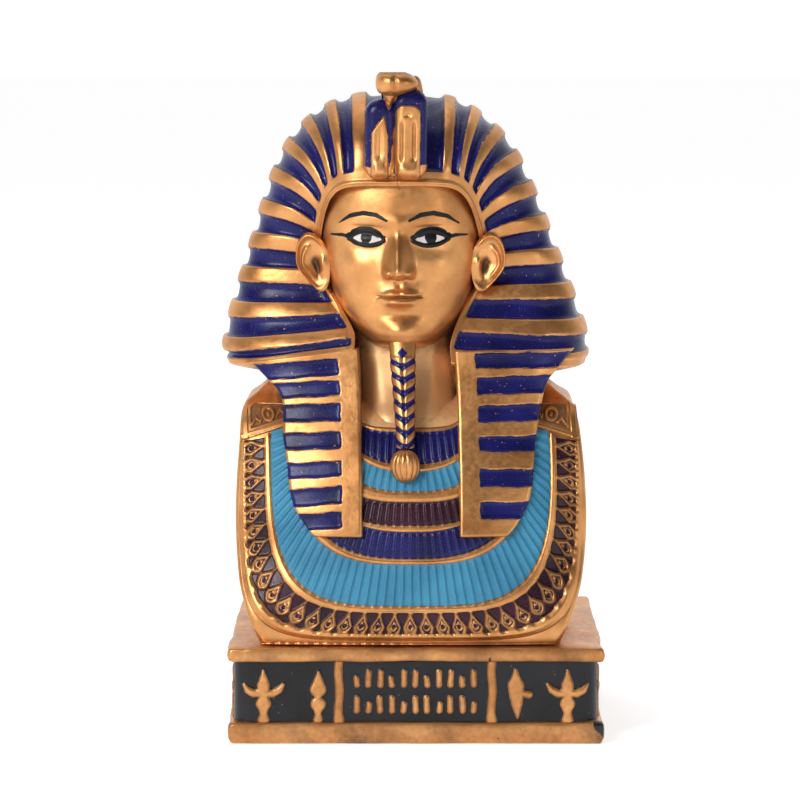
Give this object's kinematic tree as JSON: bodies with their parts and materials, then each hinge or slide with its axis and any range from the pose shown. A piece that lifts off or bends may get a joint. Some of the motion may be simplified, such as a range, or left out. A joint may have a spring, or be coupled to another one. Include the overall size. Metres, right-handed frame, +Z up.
{
  "type": "pharaoh bust figurine",
  "caption": "Painted cast souvenir bust of a pharaoh in a striped headcloth with serpent, beard and broad collar, on a rectangular plinth with a relief band.",
  "frame": {"origin": "middle of the plinth's flat underside", "axes": "+Z up; the face looks along -Y; +X is to the right of someone who looks at the face"},
  "size_m": [0.0872, 0.073, 0.1504],
  "materials": {
    "bust_paint": "satin",
    "plinth_paint": "satin"
  },
  "bodies": {
    "root": {"bust": "bust_paint", "plinth": "plinth_paint"}
  },
  "joints": []
}
